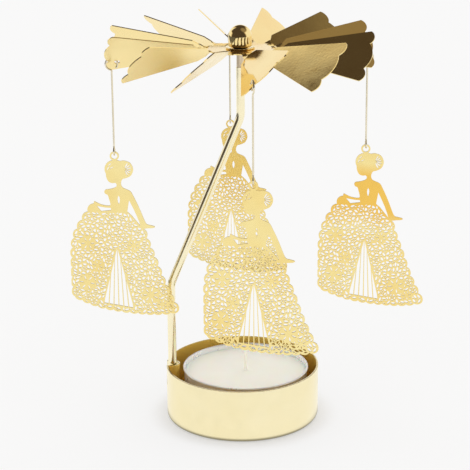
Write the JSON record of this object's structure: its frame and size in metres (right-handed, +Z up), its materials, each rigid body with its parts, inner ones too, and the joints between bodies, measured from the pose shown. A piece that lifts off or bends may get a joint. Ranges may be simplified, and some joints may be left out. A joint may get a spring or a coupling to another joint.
{
  "type": "tea light carousel",
  "caption": "Candle carousel: a round cup holds a tea light, and a bent rod with a needle tip carries a bladed fan with hanging pierced ladies that turns in the rising heat.",
  "frame": {"origin": "centre of the cup's underside, on the fan's axis", "axes": "+Z up along the fan's axis, +X to the right in the picture, +Y away from the camera; the rod stands on the -X side of the cup"},
  "size_m": [0.1053, 0.0772, 0.1192],
  "materials": {
    "gold_plate": "bright pale gold plating",
    "pivot_steel": "plain grey steel",
    "tealight_aluminium": "thin bright drawn aluminium",
    "wax": "smooth white wax",
    "wick_cotton": "waxed cotton"
  },
  "bodies": {
    "stand": {"base_cup": "gold_plate", "stand_rod": "gold_plate", "needle_sleeve": "pivot_steel", "pivot_needle": "pivot_steel"},
    "rotor": {"fan_rotor": "gold_plate", "dish_washer": "gold_plate", "hub_eyelet": "gold_plate", "ball_knob": "gold_plate", "bearing_cup": "pivot_steel"},
    "candle": {"tealight_can": "tealight_aluminium", "tealight_wax": "wax", "tealight_wick": "wick_cotton"},
    "right_hanger": {"hanger_right": "gold_plate"},
    "right_figure": {"figure_right": "gold_plate"},
    "back_hanger": {"hanger_back": "gold_plate"},
    "back_figure": {"figure_back": "gold_plate"},
    "left_hanger": {"hanger_left": "gold_plate"},
    "left_figure": {"figure_left": "gold_plate"},
    "front_hanger": {"hanger_front": "gold_plate"},
    "front_figure": {"figure_front": "gold_plate"}
  },
  "joints": [
    {"name": "rotor_spin", "type": "hinge", "parent": "stand", "child": "rotor", "pos_m": [0, 0, 0.1123], "axis": [0, 0, 1], "continuous": true},
    {"name": "candle_lift", "type": "slide", "parent": "stand", "child": "candle", "axis": [0, 0, 1], "range_m": [0, 0.018]},
    {"name": "right_hanger_swing", "type": "hinge", "parent": "rotor", "child": "right_hanger", "pos_m": [0.0366, 0.00369, 0.1088], "axis": [0.1857, -0.9826, 0], "range_deg": [-6, 20]},
    {"name": "right_figure_turn", "type": "hinge", "parent": "right_hanger", "child": "right_figure", "pos_m": [0.0366, 0.00369, 0.08182], "axis": [0, 0, 1], "range_deg": [-45, 45]},
    {"name": "back_hanger_swing", "type": "hinge", "parent": "rotor", "child": "back_hanger", "pos_m": [-0.00369, 0.0366, 0.1088], "axis": [0.9826, 0.1857, 0], "range_deg": [-6, 20]},
    {"name": "back_figure_turn", "type": "hinge", "parent": "back_hanger", "child": "back_figure", "pos_m": [-0.00369, 0.0366, 0.08182], "axis": [0, 0, 1], "range_deg": [-45, 45]},
    {"name": "left_hanger_swing", "type": "hinge", "parent": "rotor", "child": "left_hanger", "pos_m": [-0.0366, -0.00369, 0.1088], "axis": [-0.1857, 0.9826, 0], "range_deg": [-6, 20]},
    {"name": "left_figure_turn", "type": "hinge", "parent": "left_hanger", "child": "left_figure", "pos_m": [-0.0366, -0.00369, 0.08182], "axis": [0, 0, 1], "range_deg": [-45, 5]},
    {"name": "front_hanger_swing", "type": "hinge", "parent": "rotor", "child": "front_hanger", "pos_m": [0.00369, -0.0366, 0.1088], "axis": [-0.9826, -0.1857, 0], "range_deg": [-6, 20]},
    {"name": "front_figure_turn", "type": "hinge", "parent": "front_hanger", "child": "front_figure", "pos_m": [0.00369, -0.0366, 0.08182], "axis": [0, 0, 1], "range_deg": [-45, 45]}
  ]
}
